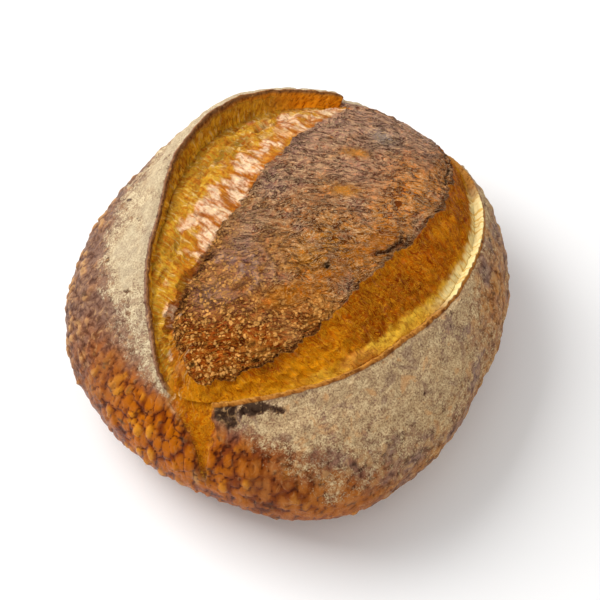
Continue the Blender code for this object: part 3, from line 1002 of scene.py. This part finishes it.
class Finish:
    """A material whose nodes are made one call at a time."""

    def __init__(self, name):
        self.material = bpy.data.materials.new(name)
        self.material.use_nodes = True
        self.tree = self.material.node_tree
        self.shader = self.tree.nodes["Principled BSDF"]

    def node(self, kind, settings=None, inputs=None, output=0):
        """Add a node: its settings first, then the values or links of its sockets."""
        node = self.tree.nodes.new(kind)
        for name, value in (settings or {}).items():
            setattr(node, name, value)
        for name, value in (inputs or {}).items():
            self.feed(node.inputs[name], value)
        return Amount(self, node.outputs[output])

    def feed(self, socket, value):
        """Link an Amount to a socket, or write a plain value on it."""
        if isinstance(value, Amount):
            self.tree.links.new(value.socket, socket)
        else:
            socket.default_value = value

    def mask(self, name):
        """A number kept on the points."""
        return self.node("ShaderNodeAttribute", {"attribute_name": name}, output="Fac")

    def painted(self, name):
        """A colour kept on the points."""
        return self.node("ShaderNodeAttribute", {"attribute_name": name}, output="Color")

    def soft(self, value, start, end):
        """A soft step, from 0 at start to 1 at end."""
        if start > end:
            return 1 - self.soft(value, end, start)
        return self.node("ShaderNodeMapRange", {"interpolation_type": "SMOOTHSTEP"},
                         {"Value": value, "From Min": start, "From Max": end})

    def mix(self, first, second, share, blend="MIX"):
        """Mix two colours."""
        return self.node("ShaderNodeMix", {"data_type": "RGBA", "blend_type": blend, "clamp_factor": True},
                         {0: share, 6: self.colour(first), 7: self.colour(second)}, output=2)

    def tone(self, first, second, share):
        """Multiply a colour by another, by a share."""
        return self.mix(first, second, share, "MULTIPLY")

    def colour(self, value):
        """Plain colours get an alpha of 1."""
        return value if isinstance(value, Amount) else (*value, 1)

    def sized(self, place, size, turned=0):
        """Measure places in steps of a size, along axes turned about Z."""
        size = size if isinstance(size, tuple) else (size, size, size)
        return self.node("ShaderNodeMapping", {"vector_type": "TEXTURE"},
                         {"Vector": place, "Rotation": (0, 0, turned), "Scale": size})

    def grainy(self, place, detail=3, roughness=0.55, distortion=0.0):
        """Cloudy noise about one step across, from 0 to 1."""
        return self.node("ShaderNodeTexNoise", None, {
            "Vector": place, "Scale": 1, "Detail": detail, "Roughness": roughness, "Distortion": distortion})

    def cells(self, place):
        """How far a place is from its nearest Voronoi seed, with seeds about one step apart."""
        return self.node("ShaderNodeTexVoronoi", {"feature": "F1"}, {"Vector": place, "Scale": 1}, "Distance")

    def shifted(self, place, by, size):
        """Shift places by cloudy noise, so that straight patterns wander."""
        cloud = self.node("ShaderNodeTexNoise", None, {
            "Vector": self.sized(place, size), "Scale": 1, "Detail": 1}, "Color")
        shift = self.node("ShaderNodeVectorMath", {"operation": "SUBTRACT"}, {0: cloud, 1: (0.5, 0.5, 0.5)})
        shift = self.node("ShaderNodeVectorMath", {"operation": "SCALE"}, {0: shift, "Scale": by})
        return self.node("ShaderNodeVectorMath", {"operation": "ADD"}, {0: place, 1: shift})


print("ready to write finishes")

# %% [markdown]
# ## The baked crust
#
# One finish covers the whole loaf, because the crust is one skin and its zones run into each other. Each
# zone has its own fine pattern, mixed over the painted tint by the masks. The crown comes first: its thin
# dark gaps and pale fibres are noise stretched along the bearing of its wrinkles, and at the pointed end
# they give way to dots. The gaps lie low and are darkened as painted shade; the raised fibres and wisps are
# partly pale crust and partly painted highlight.

# %% Crown pattern
finish = Finish("baked crust")
mask, mix, tone, soft = finish.mask, finish.mix, finish.tone, finish.soft
sized, shifted, grainy, cells = finish.sized, finish.shifted, finish.grainy, finish.cells
tint_here, crown_tint_here = finish.painted("tint"), finish.painted("crown_tint")
where = finish.node("ShaderNodeTexCoord", output="Object")
grain_uv = finish.node("ShaderNodeUVMap", {"uv_map": "grain"})
specks = grainy(sized(where, 0.0010), 3, 0.65)
clumps = grainy(sized(where, 0.0042), 4, 0.62, 0.5)

swirled = shifted(where, 0.012, 0.020)
threads = grainy(sized(swirled, (0.0078, 0.0030, 0.0038), COMB_BEARING), 5, 0.68, 1.3)
wisps = grainy(sized(swirled, (0.0054, 0.0026, 0.0030), COMB_BEARING), 2, 0.6, 2.6)
wisps_and_highlight = soft(abs(wisps - 0.5), 0.055, 0.010)
smooth_here, low_here = mask("smooth"), mask("dots")
rough_here = 1 - smooth_here * 0.8
shaded_gaps = soft(threads, 0.51, 0.40) * rough_here
dot_cells = cells(sized(shifted(where, 0.0025, 0.0030), 0.0020))
dots = soft(dot_cells + specks * 0.5 + (clumps - 0.5) * 1.2, 0.70, 0.50) * low_here * rough_here

crown_colour = tone(crown_tint_here, (0.60, 0.45, 0.48), soft(clumps, 0.47, 0.36))
crown_colour = tone(crown_colour, (1.50, 1.28, 1.00), soft(clumps, 0.53, 0.66))
# Painted shade darkens the low gaps; the pale wisps and fibres laid on next are partly pale crust and partly
# painted highlight.
crown_colour = tone(crown_colour, (0.20, 0.10, 0.09), shaded_gaps * (0.92 - 0.14 * low_here))
wisp_and_highlight_colour = mix((0.92, 0.60, 0.320), (0.90, 0.40, 0.060), low_here)
crown_colour = mix(crown_colour, wisp_and_highlight_colour, wisps_and_highlight * rough_here * (0.60 - 0.18 * low_here))
fibre_and_highlight_colour = mix((0.88, 0.53, 0.25), (0.90, 0.40, 0.06), low_here)
fibres_and_highlight = soft(threads, 0.57, 0.69) * rough_here * (0.66 - 0.30 * low_here)
crown_colour = mix(crown_colour, fibre_and_highlight_colour, fibres_and_highlight)
crown_colour = mix(crown_colour, (0.94, 0.44, 0.110), dots * 0.85)
crown_height = (threads * 1.1 - shaded_gaps * 0.6 + wisps_and_highlight * 0.30 + specks * 0.2) * rough_here + dots * 0.45
print("crown pattern has", len(finish.tree.nodes), "nodes")

# %% [markdown]
# Torn dough is patterned on the grain map instead, so that its strands run from the crown to the lip
# wherever the score turns. The walls of the lips get short teeth, and one stretch of the right lip gets
# long pale ribs.

# %% Torn dough pattern
wavy_grain = shifted(grain_uv, 0.0030, 0.0065)
strand = grainy(sized(wavy_grain, (0.0013, 0.0100, 1)), 4, 0.6, 0.4)
fine_strand = grainy(sized(wavy_grain, (0.00060, 0.0040, 1)), 2, 0.6)
left_here = mask("left")
pale = soft(strand + fine_strand * 0.4, 0.74, 0.92)
curls = grainy(sized(wavy_grain, (0.0023, 0.0048, 1)), 4, 0.65, 2.0)
curl_lines = soft(abs(curls - 0.5), 0.050, 0.008)
amber = soft(strand + (clumps - 0.5) * 0.5, 0.52, 0.41) * 0.50 * left_here

# Low strands and curls are darkened as painted shade, and the highest strands turn pale, partly pale dough
# and partly painted highlight.
torn_colour = tone(tint_here, (0.55, 0.38, 0.30), soft(strand, 0.48, 0.34) * (0.45 + 0.35 * left_here))
torn_colour = mix(torn_colour, (0.95, 0.72, 0.36), pale * (0.06 + 0.50 * left_here))
torn_colour = mix(torn_colour, (0.58, 0.150, 0.010), amber)
torn_colour = tone(torn_colour, (0.50, 0.30, 0.20), soft(curls, 0.47, 0.36) * (0.70 - 0.15 * left_here))
torn_colour = mix(torn_colour, (0.92, 0.44, 0.020), curl_lines * (0.40 - 0.25 * left_here))
torn_colour = tone(torn_colour, (0.62, 0.46, 0.40), soft(clumps, 0.47, 0.36) * 0.7)
torn_colour = tone(torn_colour, (1.25, 1.22, 1.1), soft(clumps, 0.54, 0.66) * 0.8)
torn_height = strand * 0.6 + fine_strand * 0.2 + clumps * 0.4 + curls * 0.6 + curl_lines * 0.15

tooth = grainy(sized(grain_uv, (0.0015, 0.0028, 1)), 3, 0.65)
wall_colour = tone(tint_here, (0.38, 0.26, 0.20), soft(tooth, 0.50, 0.38) * 0.7)
wall_colour = mix(wall_colour, (0.72, 0.36, 0.09), soft(tooth, 0.58, 0.70) * 0.55)
rib = grainy(sized(shifted(grain_uv, 0.0010, 0.004), (0.0019, 0.030, 1)), 1, 0.5)
rib_colour = tone(tint_here, (0.80, 0.62, 0.34), soft(rib, 0.50, 0.38))
ribs_here = mask("ribs")
print("torn dough pattern brings them to", len(finish.tree.nodes))

# %% [markdown]
# The side has streaks, small cells between the blisters and dark creases round them. The low cell borders and
# the creases are darkened as painted shade, and the blister tops are pale, partly their own colour and partly
# painted highlight. They fade where the big blisters are, which are smooth and tight.

# %% Side pattern
blister_here, blister_top_here = mask("blister"), mask("blister_top")
blistered_here, big_here = mask("blistered"), mask("big_blistered")
small_cell = cells(sized(shifted(where, 0.002, 0.003), (0.0030, 0.0030, 0.0038)))
streaks = grainy(sized(shifted(where, 0.006, 0.012), (0.0030, 0.0030, 0.0060)), 4, 0.65, 0.8)
dark_streaks = soft(streaks, 0.48, 0.37) * 0.75 * (1 - 0.55 * big_here)
pale_streaks = soft(streaks, 0.54, 0.68) * 0.50 * (1 - 0.7 * big_here)
# Painted shade: the low borders of the small cells and the creases round the blisters are darkened. The pale
# blister tops are partly their own colour and partly painted highlight.
cell_gaps = soft(small_cell + specks * 0.3, 0.68, 0.88) * 0.6 * (1 - big_here)
crease_shade = 1 - soft(blister_here + specks * 0.3, 0.20, 0.70)
pale_tops_and_highlight = soft(blister_top_here, 0.36, 0.80) * 0.50 * (1 - big_here)

side_colour = tone(tint_here, (0.42, 0.32, 0.34), dark_streaks)
side_colour = mix(side_colour, (0.62, 0.36, 0.15), pale_streaks)
side_colour = tone(side_colour, (0.36, 0.26, 0.24), cell_gaps)
side_colour = tone(side_colour, (0.20, 0.10, 0.06), crease_shade * blistered_here * 0.85)
side_colour = mix(side_colour, (0.60, 0.34, 0.13), pale_tops_and_highlight)
side_height = (specks * 0.2 - small_cell * 0.4 + streaks * 0.5) * (1 - 0.75 * big_here)
print("side pattern brings them to", len(finish.tree.nodes))

# %% [markdown]
# Flour lies in grains and clumps, so its edge is broken by noise and its own colour is mottled: thick dust
# is cream, thin dust shows the crust through it, and damp stains are left in it here and there.

# %% Flour pattern
dust_marks = grainy(sized(where, (0.00085, 0.00085, 0.00110)), 3, 0.65)
stains = grainy(sized(where, 0.0105), 3, 0.60, 0.6)
flour_here = mask("flour")
floured = soft(flour_here + (clumps - 0.5) * 1.2 + (dust_marks - 0.5) * 1.2, 0.18, 0.78)
floured = floured * soft(flour_here, 0.01, 0.12)
thin_dust = soft(dust_marks + (clumps - 0.5) * 0.4, 0.36, 0.52)
thick_dust = soft(dust_marks + (clumps - 0.5) * 0.8, 0.50, 0.72)

dusty = mix((0.290, 0.195, 0.120), (0.52, 0.395, 0.235), thin_dust)
dusty = mix(dusty, (0.86, 0.74, 0.48), thick_dust * (0.65 - 0.05 * left_here))
dusty = mix(dusty, (0.62, 0.33, 0.13), soft(stains, 0.55, 0.66) * (0.55 - 0.5 * left_here))
dusty = tone(dusty, (0.60, 0.54, 0.62), soft(stains, 0.45, 0.35) * (0.85 - 0.5 * left_here))
dusty = mix(dusty, (0.56, 0.47, 0.31), soft(flour_here, 0.75, 1.10) * left_here * 0.38)
dusty = tone(dusty, (1.02, 0.92, 0.80), 1 - left_here)
side_colour = mix(side_colour, dusty, floured * 0.88)
print("flour pattern brings them to", len(finish.tree.nodes))

# %% [markdown]
# The zones are laid over each other in the order in which the dough tore: side, torn dough, lips and crown.
# Their edges are broken by the same clumps and threads that pattern them. All the fine heights go through
# one Bump node, and only the big blisters have a faint gloss.

# %% Put the zones together
wall_here = mask("wall")
crown_here = soft(mask("crown") * 1.8 + (clumps - 0.5) * 1.1 + (threads - 0.5) * 0.5, 0.80, 1.00)
torn_here = soft(mask("torn") * 1.4 + (clumps - 0.5) * 0.4, 0.56, 0.80)
seam_here = soft(mask("seam") * (1.6 - threads - wisps_and_highlight * 0.5), 0.40, 0.85)
crust_colour = mix(side_colour, torn_colour, torn_here)
crust_colour = mix(crust_colour, wall_colour, wall_here)
crust_colour = mix(crust_colour, rib_colour, ribs_here)
crust_colour = mix(crust_colour, crown_colour, crown_here)
crust_colour = tone(crust_colour, (0.32, 0.18, 0.11), seam_here * 0.75)
height = side_height * (1 - torn_here) * (1 - crown_here) + torn_height * torn_here * (1 - crown_here)
height = height + crown_height * crown_here + tooth * wall_here * 0.7 + dust_marks * floured * 0.22
height = height + rib * ribs_here * 0.8 - seam_here * 0.5
dull = 0.44 + floured * 0.44 + (specks - 0.5) * 0.25 - big_here * 0.10 - dots * 0.1 + ribs_here * 0.1

sockets = finish.shader.inputs
finish.feed(sockets["Base Color"], crust_colour)
finish.feed(sockets["Roughness"], dull)
finish.feed(sockets["Normal"], finish.node("ShaderNodeBump", None, {
    "Height": height, "Distance": MM, "Strength": 1.0}))
finish.feed(sockets["Coat Weight"], big_here * 0.05)
sockets["Coat Roughness"].default_value = 0.22
sockets["Specular IOR Level"].default_value = 0.04
sockets["Specular Tint"].default_value = (1.0, 0.80, 0.55, 1)
crust.materials.append(finish.material)
print("the finish has", len(finish.tree.nodes), "nodes")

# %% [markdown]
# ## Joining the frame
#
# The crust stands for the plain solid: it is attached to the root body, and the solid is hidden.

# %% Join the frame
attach(loaf, "root")
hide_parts("sourdough_loaf")
print("the crust stands for the solid")
